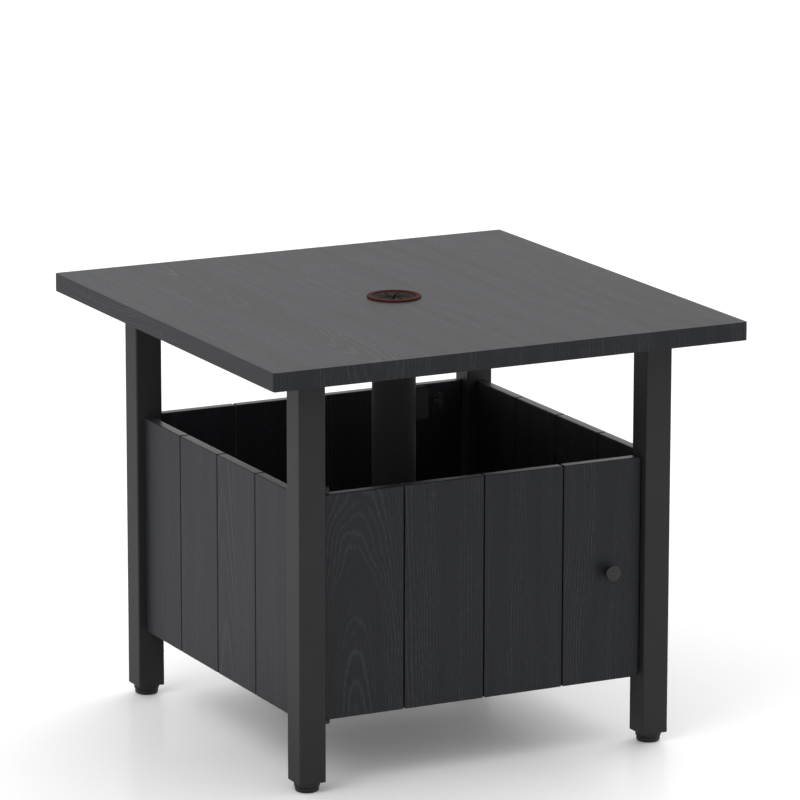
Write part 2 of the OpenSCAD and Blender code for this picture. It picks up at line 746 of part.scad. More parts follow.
// Pad that presses on the pole and doesn't turn with the screw
module clamp_pad() {
    color(RUBBER) clamp_axis() difference() {
        translate([0, 0, pad_x]) cylinder(d = pad_d, h = pad_t);
        translate([0, 0, pad_back - tip_l]) cylinder(d = tip_d + 2 * running_fit, h = tip_l + eps);
    }
}

// Umbrella ring

// Flange with a rounded rim, a ledge for the petal disc, and a neck
module umbrella_ring() {
    flange_z = table_h - ring_recess + seat_gap;
    rim_z = table_h + ring_rise;
    round_r = min(ring_round_r, (rim_z - flange_z) / 2);
    color(RING_BROWN) rotate_extrude() {
        translate([ring_in, flange_z]) square([ring_flange_w, rim_z - round_r - flange_z]);
        translate([ring_in + round_r, flange_z]) square([ring_flange_w - 2 * round_r, rim_z - flange_z]);
        for (r = [ring_in + round_r, ring_r - round_r]) translate([r, rim_z - round_r]) circle(round_r);
        translate([neck_in, flange_z - neck_l]) square([ledge_w, ledge_z - flange_z + neck_l]);
        translate([ring_in, flange_z - neck_l]) square([neck_wall - ledge_w, neck_l + round_r]);
    }
}

// One curved slit from the middle of the disc to its rim
module petal_slit() {
    reach = ring_in - push_fit - petal_rim;
    intersection() {
        translate([slit_curve_r, 0, 0]) difference() {
            cylinder(r = slit_curve_r + slit_w / 2, h = petal_t + 2 * eps);
            translate([0, 0, -eps]) cylinder(r = slit_curve_r - slit_w / 2, h = petal_t + 4 * eps);
        }
        cylinder(r = reach, h = petal_t + 2 * eps);
        translate([-slit_w, 0, 0]) cube([2 * reach, reach, petal_t + 2 * eps]);
    }
}

// Flexible disc in the ring, cut into curved petals that let a pole through
module petal_disc() {
    color([0.15, 0.12, 0.11]) translate([0, 0, ledge_z]) difference() {
        cylinder(r = ring_in - push_fit, h = petal_t);
        for (i = [1:petals]) rotate([0, 0, i * 360 / petals]) translate([0, 0, -eps]) petal_slit();
    }
}

// Fasteners of the frame

// Screws of the top rails, the tube's two plates, the shelf and the catch
module frame_screws() {
    color(ZINC) {
        top_rail_screw_places() translate([0, 0, -top_rail_h]) wood_screw(top_rail_h + screw_bite);
        translate([0, 0, underside_z - flange_t]) flange_screw_places() wood_screw(flange_t + screw_bite);
        translate([0, 0, shelf_top_z + flange_t]) flange_screw_places() mirror([0, 0, 1])
            wood_screw(flange_t + screw_bite);
        for (x = [-1, 1], s = rail_screws) translate([x * (panel_in - rail_size / 2), s, low_rail_z])
            wood_screw(rail_size + screw_bite);
        catch_screw_places() translate([0, 0, -catch_w]) wood_screw(catch_w + rail_wall);
    }
}

// Screws that hold the boards of one fixed side, at the back
module side_screws() {
    for (i = [1:planks], z = [low_rail_z, mid_rail_z])
        translate([fixed_plank_x(i), panel_in - rail_size, z + rail_size / 2]) point_y()
            wood_screw(rail_size + screw_bite);
}

module plank_screws() {
    color(ZINC) {
        side_screws();
        rotate([0, 0, 90]) side_screws();
        mirror([1, 0, 0]) rotate([0, 0, 90]) side_screws();
    }
}

table_top();
front_left_leg();
front_right_leg();
rear_left_leg();
rear_right_leg();
leg_plugs();
front_left_foot_stem();
front_right_foot_stem();
rear_left_foot_stem();
rear_right_foot_stem();
front_left_foot_pad();
front_right_foot_pad();
rear_left_foot_pad();
rear_right_foot_pad();
front_top_rail();
rear_top_rail();
left_top_rail();
right_top_rail();
front_low_rail();
rear_low_rail();
left_low_rail();
right_low_rail();
rear_mid_rail();
left_mid_rail();
right_mid_rail();
shelf_board();
for (i = [1:planks]) {
    left_plank(i);
    right_plank(i);
    rear_plank(i);
    door_plank(i);
}
door_upper_batten();
door_lower_batten();
door_knob();
door_screws();
hinge_pins();
catch_body();
catch_strike();
umbrella_tube();
tube_head_flange();
tube_foot_socket();
clamp_block();
clamp_screw();
clamp_pad();
umbrella_ring();
petal_disc();
frame_screws();
plank_screws();
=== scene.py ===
import math

import bmesh
import bpy
from mathutils import Matrix, Vector


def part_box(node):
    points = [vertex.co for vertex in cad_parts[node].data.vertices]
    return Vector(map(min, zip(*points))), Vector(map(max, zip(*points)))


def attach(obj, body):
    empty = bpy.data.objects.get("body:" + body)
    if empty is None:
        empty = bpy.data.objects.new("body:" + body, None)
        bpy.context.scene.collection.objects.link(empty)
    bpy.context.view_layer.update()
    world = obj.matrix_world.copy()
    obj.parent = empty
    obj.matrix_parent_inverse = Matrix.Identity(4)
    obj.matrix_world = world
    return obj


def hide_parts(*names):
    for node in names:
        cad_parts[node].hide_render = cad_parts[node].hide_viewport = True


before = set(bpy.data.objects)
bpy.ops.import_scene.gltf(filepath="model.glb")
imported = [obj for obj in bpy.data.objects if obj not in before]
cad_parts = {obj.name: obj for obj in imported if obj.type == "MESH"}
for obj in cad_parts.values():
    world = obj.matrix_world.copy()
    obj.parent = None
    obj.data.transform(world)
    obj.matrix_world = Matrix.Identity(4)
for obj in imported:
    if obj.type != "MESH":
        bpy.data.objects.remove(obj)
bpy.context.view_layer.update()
MM = 0.001

# The boards: the square top, twelve upright boards on three sides and four on the door, two battens
# behind the door and a shelf. Each is fibre board wrapped in a black film with embossed wood grain,
# which runs on over the edges. Screws through the steel rails and the battens hold them.
FILM_DARK = (0.0125, 0.0133, 0.0161, 1)
FILM_LIGHT = (0.0328, 0.0350, 0.0422, 1)
CORE_R = 18
CORE_SPACING = 7.0
RING_DRIFT = 15
RING_WAVE = 2.6
EMBOSSING = 0.16 * MM
BOARD_EDGE_R = 1.2 * MM
BOARD_CORNER_R = 1.5 * MM
X, Y, Z = Vector((1, 0, 0)), Vector((0, 1, 0)), Vector((0, 0, 1))


class Signal:
    """An output of a finish's shader; arithmetic on signals and numbers adds Math nodes."""

    def __init__(self, tree, socket):
        self.tree = tree
        self.socket = socket

    @staticmethod
    def node(tree, kind, settings=None, sockets=None, out=0):
        made = tree.nodes.new("ShaderNode" + kind)
        for key, value in (settings or {}).items():
            setattr(made, key, value)
        for key, value in (sockets or {}).items():
            if isinstance(value, Signal):
                tree.links.new(value.socket, made.inputs[key])
            else:
                made.inputs[key].default_value = value
        return Signal(tree, made.outputs[out]) if len(made.outputs) else None

    def beside(self, out):
        return Signal(self.tree, self.socket.node.outputs[out])

    def math(self, operation, *others):
        return Signal.node(self.tree, "Math", {"operation": operation}, dict(enumerate((self, *others))))

    def __add__(self, other):
        return self.math("ADD", other)

    def __mul__(self, other):
        return self.math("MULTIPLY", other)

    def __sub__(self, other):
        return self.math("SUBTRACT", other)

    def __rsub__(self, other):
        return Signal.node(self.tree, "Math", {"operation": "SUBTRACT"}, {0: other, 1: self})

    __radd__ = __add__
    __rmul__ = __mul__


def new_finish(name):
    """An empty material, and the tree that its shader grows in."""
    material = bpy.data.materials.new(name)
    material.use_nodes = True
    material.node_tree.nodes.clear()
    return material, material.node_tree


def close_finish(tree, **sockets):
    """Ends a finish in its shader; the sockets are named with _ for each blank."""
    named = {key.replace("_", " "): value for key, value in sockets.items()}
    shader = Signal.node(tree, "BsdfPrincipled", {}, named)
    Signal.node(tree, "OutputMaterial", {}, {"Surface": shader})


def mixed(factor, dark, light):
    """A colour between two, by a factor; the Mix node's colours are its sockets 6 and 7."""
    return Signal.node(factor.tree, "Mix", {"data_type": "RGBA"}, {0: factor, 6: dark, 7: light}, out=2)


def noise(vector, scale, detail=2.0, roughness=0.5):
    """Soft noise, mostly between 0.3 and 0.7."""
    return Signal.node(vector.tree, "TexNoise", {"noise_dimensions": "3D"},
                       {"Vector": vector, "Scale": scale, "Detail": detail, "Roughness": roughness})


def stretched(tree, x, y, z=0.0):
    """A vector from three signals or numbers."""
    return Signal.node(tree, "CombineXYZ", {}, {0: x, 1: y, 2: z})


def held(signal):
    """Holds a signal between 0 and 1."""
    return signal.math("MAXIMUM", 0.0).math("MINIMUM", 1.0)


def bump(height, distance):
    """A surface raised by a signal; the distance is the height that 1 stands for."""
    return Signal.node(height.tree, "Bump", {}, {"Height": height, "Distance": distance})


def object_place(tree):
    """Where a point lies in the object's own coordinates, which are the table's."""
    return Signal.node(tree, "TexCoord", out="Object")


def map_place(tree, name):
    """The two values of a point in one of a board's maps, in mm."""
    first = Signal.node(tree, "SeparateXYZ", {}, {0: Signal.node(tree, "UVMap", {"uv_map": name})}, out="X")
    second = first.beside("Y")
    return first * 1000, second * 1000


def flecks(x, y, size, seed=0.0, detail=1.0, roughness=0.5):
    """Noise over two signals in mm, with flecks as wide and as long as the size says."""
    width, length = size
    return noise(stretched(x.tree, x * (1 / width), y * (1 / length), seed), 1.0, detail, roughness)


def patches(signal, above, gain):
    """The part of a signal above a level, made steeper and held between 0 and 1."""
    return held((signal - above) * gain)


def grain_film():
    """Black film with embossed plain-sawn grain: rings that narrow outwards, dense and calm zones, all
    of it broken into short pores. Each board lays it by its own two maps."""
    material, tree = new_finish("grain_film")
    across, depth = map_place(tree, "grain")
    side, along = map_place(tree, "strip")
    drift = flecks(across, depth, (55, 13)) - 0.5
    wave = flecks(across, along, (12, 60)) - 0.5
    radius = (across * across + depth * depth).math("SQRT") + drift * RING_DRIFT + wave * RING_WAVE
    turns = (radius + (radius - CORE_R).math("MAXIMUM", 0.0)) * (1 / CORE_SPACING)
    rings = ((turns * (2 * math.pi)).math("SINE") * 0.5 + 0.5).math("POWER", 3.0)
    strength = patches(flecks(turns * 0.55, along, (1, 220), 3.0), 0.3, 3)
    zone = patches(flecks(radius, along, (19, 500), 9.0), 0.33, 5)
    ticks = patches(flecks(side, along, (1.4, 7), roughness=0.6), 0.42, 5)
    pores = patches(flecks(side, along, (1.5, 12), 7.0, roughness=0.6), 0.47, 5)
    fibre = flecks(side, along, (1.7, 45), 5.0, 2.0, 0.6)
    lines = rings * (0.1 + zone * 0.9) * (0.15 + strength * 0.95) * (0.4 + ticks * 0.7)
    relief = lines + pores * (0.05 + zone * 0.22) + (fibre - 0.5) * (0.15 + zone * 0.25)
    close_finish(
        tree,
        Base_Color=mixed(held(relief * 0.85 + 0.06), FILM_DARK, FILM_LIGHT),
        Roughness=0.47 - lines * 0.06 + (fibre - 0.5) * 0.1,
        Specular_IOR_Level=0.22,
        Normal=bump(relief, EMBOSSING),
    )
    return material


def drop_selection():
    bpy.ops.object.select_all(action="DESELECT")


def only(piece):
    """Makes a piece the only one selected, and the active one."""
    drop_selection()
    piece.select_set(True)
    bpy.context.view_layer.objects.active = piece


def place_here(piece):
    """Puts a piece's place, turn and size into its mesh."""
    only(piece)
    bpy.ops.object.transform_apply(location=True, rotation=True, scale=True)


def block(name, low, high):
    """A plain block between two corners, to be shaped."""
    drop_selection()
    bpy.ops.mesh.primitive_cube_add(size=1, location=(low + high) / 2, scale=high - low)
    piece = bpy.context.object
    piece.name = piece.data.name = name
    place_here(piece)
    return piece


def pick_edges(piece, test):
    """In edit mode, selects only the edges whose two ends pass the test."""
    bpy.ops.mesh.select_all(action="DESELECT")
    bpy.ops.mesh.select_mode(type="EDGE")
    mesh = bmesh.from_edit_mesh(piece.data)
    for edge in mesh.edges:
        edge.select_set(bool(test(edge.verts[0].co, edge.verts[1].co)))
    bmesh.update_edit_mesh(piece.data)


def modified(piece, kind, **settings):
    """Adds a modifier and applies it."""
    only(piece)
    modifier = piece.modifiers.new("shaping", kind)
    for key, value in settings.items():
        setattr(modifier, key, value)
    bpy.ops.object.modifier_apply(modifier=modifier.name)


def cut_out(piece, cutter):
    """Takes the cutter's shape out of the piece, and the cutter away."""
    modified(piece, "BOOLEAN", operation="DIFFERENCE", solver="EXACT", object=cutter)
    bpy.data.objects.remove(cutter)


def dressed(piece, finish, body, slot, *nodes):
    """Gives a piece its finish and body, and hides the nodes that it stands for."""
    piece.data.materials.clear()
    piece.data.materials.append(finish)
    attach(piece, body)
    if nodes:
        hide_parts(*nodes)


def round_corners(piece, thick, radius_at):
    """Rounds the edges that run through the board, each by the radius at its place."""
    only(piece)
    bpy.ops.object.mode_set(mode="EDIT")
    centres = []
    for edge in bmesh.from_edit_mesh(piece.data).edges:
        a, b = (vertex.co for vertex in edge.verts)
        if abs((a - b).normalized().dot(thick)) > 0.99:
            centres.append((a + b) / 2)
    for centre in centres:
        pick_edges(piece, lambda p, q: ((p + q) / 2 - centre).length < 1e-5)
        bpy.ops.mesh.bevel(offset=radius_at(centre), segments=5, affect="EDGES")
    bpy.ops.object.mode_set(mode="OBJECT")


def round_outline(piece, thick, widest, radius_at):
    """Rounds the edges round both faces of a board, each by the radius at its place."""
    only(piece)
    levels = [v.co.dot(thick) for v in piece.data.vertices]
    ends = (min(levels), max(levels))
    weights = piece.data.attributes.new("bevel_weight_edge", "FLOAT", "EDGE")
    for edge in piece.data.edges:
        a, b = (piece.data.vertices[i].co for i in edge.vertices)
        flat = any(abs(a.dot(thick) - end) < 1e-6 and abs(b.dot(thick) - end) < 1e-6 for end in ends)
        weights.data[edge.index].value = radius_at((a + b) / 2) / widest if flat else 0.0
    modified(piece, "BEVEL", width=widest, segments=3, limit_method="WEIGHT")


def lay_grain(piece, along, across, show, pith, rise, taper):
    """Maps the film: how far a point lies from the pith sideways, and how deep the cut is there."""
    film = piece.data.uv_layers.new(name="grain")
    strip = piece.data.uv_layers.new(name="strip")
    face_level = max(v.co.dot(show) for v in piece.data.vertices)
    for face in piece.data.polygons:
        for loop in face.loop_indices:
            point = piece.data.vertices[piece.data.loops[loop].vertex_index].co
            under = face_level - point.dot(show)
            lie = []
            for axis in (across, along):
                tilt = face.normal.dot(axis)
                lie.append(point.dot(axis) + (math.copysign(under, tilt) if abs(tilt) > 0.1 else 0))
            film.data[loop].uv = (lie[0] - pith, (lie[1] - rise) * taper)
            strip.data[loop].uv = lie


def soft_shaded(piece):
    """Smooth shading that keeps the flats flat."""
    only(piece)
    bpy.ops.object.shade_smooth()
    modified(piece, "WEIGHTED_NORMAL", keep_sharp=True, weight=60)


def sealed_ends():
    """The black lacquer on the ends that the saw leaves, smoother than the film."""
    material, tree = new_finish("sealed_ends")
    place = object_place(tree)
    soak = noise(place, 600, 2.0, 0.6)
    close_finish(
        tree,
        Base_Color=mixed(soak, FILM_DARK, FILM_LIGHT),
        Roughness=0.3 + soak * 0.12,
        Specular_IOR_Level=0.32,
        Normal=bump(soak, 0.03 * MM),
    )
    return material


def board(node, body, along, across, show, grain, corner_r=lambda p: BOARD_CORNER_R,
          edge_r=lambda p: BOARD_EDGE_R, widest=BOARD_EDGE_R, cutters=()):
    """One board in the place of its node. Its grain says where the pith lies across the board and where
    the cut meets it along the board, both in mm, and how fast the cut leaves it."""
    low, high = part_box(node)
    piece = block("black_" + node, low, high)
    round_corners(piece, show, corner_r)
    for cutter in cutters:
        cut_out(piece, cutter)
    round_outline(piece, show, widest, edge_r)
    pith, rise, taper = grain
    lay_grain(piece, along, across, show, pith * MM, rise * MM, taper)
    soft_shaded(piece)
    dressed(piece, film_finish, body, "board", node)
    if along is Z:
        piece.data.materials.append(end_finish)
        for face in piece.data.polygons:
            face.material_index = int(abs(face.normal.z) > 0.9)


film_finish = grain_film()
end_finish = sealed_ends()

# The top: one square board with a round hole in its middle, screwed to the top rails from below. Its grain
# runs front to back, with an arch that points to the front edge.
TOP_CORNER_R = 3 * MM
TOP_EDGE_R = 1.5 * MM
TOP_HOLE_R = 26.9 * MM
ROUND_SIDES = 96
top_low, top_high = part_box("table_top")
drop_selection()
bpy.ops.mesh.primitive_cylinder_add(
    vertices=ROUND_SIDES, radius=TOP_HOLE_R, depth=100 * MM, location=(0, 0, top_high.z))
hole = bpy.context.object
place_here(hole)
board("table_top", "frame", -Y, X, Z, (-170, -350, 0.07),
      lambda p: TOP_CORNER_R, lambda p: TOP_EDGE_R, TOP_EDGE_R, [hole])

# The fixed sides: four upright boards each, side by side with fine gaps, set a little behind the legs'
# faces and screwed to the low and the middle rails.
FIXED_GRAIN = {
    "left": (-X, Y, [(-250, -700, 0.05), (-20, -900, 0.04), (150, -300, 0.11), (40, -650, 0.06)]),
    "rear": (Y, X, [(-230, -300, 0.1), (40, -500, 0.08), (-30, -900, 0.05), (260, -400, 0.1)]),
    "right": (X, Y, [(-90, -420, 0.09), (-10, -260, 0.13), (190, -500, 0.07), (90, -300, 0.12)]),
}
for side, (show, across, grains) in FIXED_GRAIN.items():
    for i, grain in enumerate(grains):
        board(f"{side}_plank_{i + 1}", "frame", Z, across, show, grain)

# The door: four upright boards screwed to two battens. It turns on two pins in its left edge, so its outer
# corners and that edge are rounder.
DOOR_CORNER_R = 4 * MM
DOOR_HINGE_EDGE_R = 3 * MM
DOOR_GRAIN = [(-157, 70, 0.19), (-128, -900, 0.035), (-70, -300, 0.06), (60, 520, 0.09)]
door_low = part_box("door_plank_1")[0]
door_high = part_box("door_plank_4")[1]


def door_corner(p):
    at_side = p.x < door_low.x + 1e-4 or p.x > door_high.x - 1e-4
    return DOOR_CORNER_R if at_side else BOARD_CORNER_R


def door_edge(p):
    """The hinge edge's radius fades into the others round the corners."""
    share = min(max((p.x - door_low.x) / DOOR_CORNER_R, 0), 1)
    return DOOR_HINGE_EDGE_R + (BOARD_EDGE_R - DOOR_HINGE_EDGE_R) * share


for i, grain in enumerate(DOOR_GRAIN):
    board(f"door_plank_{i + 1}", "door", Z, X, -Y, grain, door_corner, door_edge, DOOR_HINGE_EDGE_R)
for node, grain in (("door_upper_batten", (420, 0, 0.1)), ("door_lower_batten", (60, -200, 0.1))):
    board(node, "door", X, Z, Y, grain)

# The shelf: a board on the low rails, screwed from below and cut out round the four legs. It is the
# cabinet's floor and carries the umbrella tube.
SHELF_NOTCH = 197.7 * MM
shelf_low, shelf_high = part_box("shelf_board")
notches = []
for x in (-SHELF_NOTCH, SHELF_NOTCH):
    for y in (-SHELF_NOTCH, SHELF_NOTCH):
        past_x, past_y = x * 1.2, y * 1.2
        notches.append(block("notch", Vector((min(x, past_x), min(y, past_y), shelf_low.z - 10 * MM)),
                             Vector((max(x, past_x), max(y, past_y), shelf_high.z + 10 * MM))))
board("shelf_board", "frame", Y, X, Z, (330, -600, 0.08), cutters=notches)

# The steel frame: square legs, rails and the umbrella tube with its two plates and its clamp block,
# cut from tube, welded and powder coated black with a fine orange peel.
COAT_DARK = (0.0175, 0.0176, 0.018, 1)
COAT_LIGHT = (0.0265, 0.0266, 0.027, 1)
STEEL_NODES = [
    "front_left_leg", "front_right_leg", "rear_left_leg", "rear_right_leg",
    "front_top_rail", "rear_top_rail", "left_top_rail", "right_top_rail",
    "front_low_rail", "rear_low_rail", "left_low_rail", "right_low_rail",
    "rear_mid_rail", "left_mid_rail", "right_mid_rail",
]
TUBE_NODES = ["umbrella_tube", "tube_head_flange", "tube_foot_socket", "clamp_block"]


def powder_coat(name, rough, level):
    material, tree = new_finish(name)
    place = object_place(tree)
    peel = noise(place, 520, 2.0, 0.55)
    cloud = noise(place, 14, 2.0)
    close_finish(
        tree,
        Base_Color=mixed(cloud * 0.7 + peel * 0.3, COAT_DARK, COAT_LIGHT),
        Roughness=rough + peel * 0.12,
        Specular_IOR_Level=level,
        Normal=bump(peel, 0.09 * MM),
    )
    return material


coat = powder_coat("powder_coat", rough=0.42, level=0.24)
tube_coat = powder_coat("tube_powder_coat", rough=0.6, level=0.19)
for node in STEEL_NODES + TUBE_NODES:
    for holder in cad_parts[node].material_slots:
        holder.material = tube_coat if node in TUBE_NODES else coat

# The feet: a moulded pad on the floor that swivels on the neck of a collar. The collar is turned by hand,
# and its threaded rod runs in the plastic plug of the leg's end.
FOOT_PLASTIC = ((0.006, 0.006, 0.006, 1), (0.012, 0.012, 0.012, 1))
PLUG_PLASTIC = ((0.009, 0.009, 0.009, 1), (0.016, 0.016, 0.016, 1))
LEG_AXIS = 214.5
PAD_PROFILE = [
    (10.6, 0), (11.9, 0.2), (13.0, 1.0), (13.5, 2.3), (13.5, 5.6), (13.1, 6.0), (6.2, 6.0), (6.2, 3.1)]
COLLAR_PROFILE = [
    (5.6, 3.4), (6.0, 3.8), (6.0, 6.3), (13.9, 6.3), (14.5, 6.8), (14.5, 10.6), (13.9, 11.2), (3.4, 11.2)]
ROD_R = 3.35
ROD_THREAD_R = 4.0
ROD_END = 41.0
THREAD_PITCH = 1.25
SMOOTH_ANGLE = math.radians(38)


def moulded_plastic(name, dark, light, rough, scale=900, level=0.4):
    """Moulded plastic with a fine eroded surface."""
    material, tree = new_finish(name)
    place = object_place(tree)
    speck = noise(place, scale, 3.0, 0.6)
    cloud = noise(place, 60, 2.0)
    close_finish(
        tree,
        Base_Color=mixed(cloud * 0.6 + speck * 0.4, dark, light),
        Roughness=rough + (speck - 0.5) * 0.16,
        Specular_IOR_Level=level,
        Normal=bump(speck, 0.05 * MM),
    )
    return material


def turned(name, profile, sides=48, closed=False):
    """A turned piece on the Z axis: a circle drawn out and scaled through the profile's rings, in mm."""
    drop_selection()
    r, z = profile[0]
    bpy.ops.mesh.primitive_circle_add(
        vertices=sides, radius=r * MM, location=(0, 0, z * MM), fill_type="NOTHING")
    piece = bpy.context.object
    piece.name = piece.data.name = name
    place_here(piece)
    bpy.ops.object.mode_set(mode="EDIT")
    bpy.ops.mesh.select_mode(type="EDGE")
    bpy.ops.mesh.select_all(action="SELECT")
    steps = list(profile[1:]) + ([profile[0]] if closed else [])
    for new_r, new_z in steps:
        bpy.ops.mesh.extrude_region_move(TRANSFORM_OT_translate={"value": (0, 0, (new_z - z) * MM)})
        share = new_r / r
        bpy.ops.transform.resize(value=(share, share, 1), center_override=(0, 0, new_z * MM))
        r, z = new_r, new_z
    bpy.ops.mesh.select_all(action="SELECT")
    if closed:
        bpy.ops.mesh.remove_doubles(threshold=1e-6)
    else:
        bpy.ops.mesh.fill_holes(sides=0)
    bpy.ops.mesh.select_all(action="SELECT")
    bpy.ops.mesh.normals_make_consistent(inside=False)
    bpy.ops.object.mode_set(mode="OBJECT")
    bpy.ops.object.shade_smooth_by_angle(angle=SMOOTH_ANGLE)
    return piece


def thread(name, radius, low, high, pitch):
    """The ridge of a screw thread on the Z axis: a triangle wound up by the Screw modifier, in mm."""
    drop_selection()
    depth = 0.55 * pitch
    bpy.ops.mesh.primitive_circle_add(
        vertices=3, radius=depth * MM, location=((radius - 0.5 * depth) * MM, 0, low * MM),
        rotation=(math.pi / 2, 0, 0), fill_type="NOTHING")
    piece = bpy.context.object
    piece.name = piece.data.name = name
    place_here(piece)
    for vertex in piece.data.vertices:
        vertex.co.y = 0
    turns = math.floor((high - low) / pitch)
    modified(piece, "SCREW", axis="Z", screw_offset=pitch * MM, iterations=turns, steps=20, render_steps=20,
             use_normal_calculate=True)
    bpy.ops.object.mode_set(mode="EDIT")
    bpy.ops.mesh.select_all(action="SELECT")
    bpy.ops.mesh.fill_holes(sides=0)
    bpy.ops.mesh.normals_make_consistent(inside=False)
    bpy.ops.object.mode_set(mode="OBJECT")
    bpy.ops.object.shade_smooth_by_angle(angle=SMOOTH_ANGLE)
    return piece


def joined(name, pieces):
    """Several meshes made one piece."""
    drop_selection()
    for piece in pieces:
        piece.select_set(True)
    bpy.context.view_layer.objects.active = pieces[0]
    if len(pieces) > 1:
        bpy.ops.object.join()
    pieces[0].name = pieces[0].data.name = name
    return pieces[0]


def copy_at(piece, name, offset):
    """A copy with its own mesh, moved by an offset."""
    twin = piece.copy()
    twin.data = piece.data.copy()
    twin.name = twin.data.name = name
    bpy.context.scene.collection.objects.link(twin)
    twin.data.transform(Matrix.Translation(offset))
    return twin


foot_finish = moulded_plastic("foot_plastic", *FOOT_PLASTIC, rough=0.5)
pad_master = turned("pad_master", PAD_PROFILE)
stem_master = joined("stem_master", [
    turned("collar", COLLAR_PROFILE),
    turned("rod", [(ROD_R, 10.9), (ROD_R, ROD_END - 0.8), (2.6, ROD_END)], sides=24),
    thread("rod_thread", ROD_THREAD_R, 11.4, ROD_END - 1.6, THREAD_PITCH),
])
for front, y in (("front", -LEG_AXIS), ("rear", LEG_AXIS)):
    for side, x in (("left", -LEG_AXIS), ("right", LEG_AXIS)):
        foot = f"{front}_{side}_foot"
        offset = (x * MM, y * MM, 0)
        base = copy_at(pad_master, foot + "_base", offset)
        dressed(base, foot_finish, foot + "_slider", "foot_plastic", foot + "_pad")
        screw = copy_at(stem_master, foot + "_screw", offset)
        dressed(screw, foot_finish, foot + "_turner", "foot_plastic", foot + "_stem")
for master in (pad_master, stem_master):
    bpy.data.objects.remove(master)
plug_finish = moulded_plastic("plug_plastic", *PLUG_PLASTIC, rough=0.55)
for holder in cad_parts["leg_plugs"].material_slots:
    holder.material = plug_finish

# The knob: a turned disc with a bevelled face, painted black, on a waisted neck of black plastic whose
# colour is also made darker as painted shade under the disc. A screw from behind the door holds both.
KNOB_NECK = [
    (5.6, 0), (5.6, 0.7), (5.2, 1.1), (4.3, 2.2), (4.0, 4.2), (4.2, 7.4), (5.0, 9.2), (6.6, 10.4),
    (0.6, 10.4)]
KNOB_DISC = [
    (6.6, 10.45), (8.6, 10.6), (9.1, 10.9), (9.25, 11.4), (9.25, 13.2), (9.0, 13.6), (8.2, 14.3),
    (7.7, 14.5), (0.6, 14.5)]
KNOB_PAINT = ((0.011, 0.011, 0.0111, 1), (0.019, 0.019, 0.0191, 1))
# The neck's colours: black plastic, made darker still as painted shade under the disc.
KNOB_NECK_PLASTIC_AND_SHADE = ((0.005, 0.005, 0.005, 1), (0.009, 0.009, 0.009, 1))


def satin_paint(name, dark, light, rough, level):
    """Sprayed paint on metal, with faint rub along turned rings."""
    material, tree = new_finish(name)
    place = object_place(tree)
    mist = noise(place, 1400, 2.0, 0.6)
    rub = noise(place, 90, 3.0, 0.6)
    close_finish(
        tree,
        Base_Color=mixed(rub * 0.7 + mist * 0.3, dark, light),
        Roughness=rough + (rub - 0.5) * 0.18,
        Specular_IOR_Level=level,
        Normal=bump(mist, 0.03 * MM),
    )
    return material


def set_on(piece, point, toward, roll=0.0):
    """Turns a piece made along +Z to point another way, and moves it to its point."""
    piece.data.transform(Matrix.Translation(point) @ toward.to_track_quat("Z", "Y").to_matrix().to_4x4()
                         @ Matrix.Rotation(roll, 4, "Z"))
    return piece


def middle(node):
    """The middle of a node's box."""
    low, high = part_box(node)
    return (low + high) / 2


knob_finish = satin_paint("knob_paint", *KNOB_PAINT, rough=0.26, level=0.42)
neck_plastic_and_shade = moulded_plastic("knob_neck_plastic_and_shade", *KNOB_NECK_PLASTIC_AND_SHADE, rough=0.6, level=0.1)
knob_middle = middle("door_knob")
knob_root = Vector((knob_middle.x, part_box("door_knob")[1].y, knob_middle.z))
for name, profile, finish in (("knob_disc", KNOB_DISC, knob_finish), ("knob_neck", KNOB_NECK, neck_plastic_and_shade)):
    part = set_on(turned(name, profile, sides=64), knob_root, -Y)
    dressed(part, finish, "door", "knob_metal", "door_knob")

# The hinges: a zinc-plated pin, coloured far darker than the other zinc parts, through an ear on the leg
# into the door's edge, above and below. The upper pin hangs by its domed head, the lower one carries the
# door on its shoulder.
ZINC_BRIGHT = ((0.36, 0.36, 0.34, 1), (0.56, 0.56, 0.54, 1))
ZINC_DARK = ((0.03, 0.027, 0.024, 1), (0.06, 0.055, 0.05, 1))
PIN_R = 2.5
PIN_TIP_R = 2.0
PIN_HEAD_R = 3.5
PIN_HEAD = 3.0
PIN_IN_EAR = 4.0
PIN_IN_DOOR = 13.4


def zinc_plate(name, dark, light, rough):
    """Zinc plating with a faint patchy passivation."""
    material, tree = new_finish(name)
    place = object_place(tree)
    patch = noise(place, 260, 3.0, 0.6)
    scratch = noise(place, 1500, 2.0, 0.7)
    close_finish(
        tree,
        Base_Color=mixed(patch, dark, light),
        Roughness=rough + patch * 0.12 + scratch * 0.08,
        Metallic=1.0,
        Normal=bump(scratch, 0.02 * MM),
    )
    return material


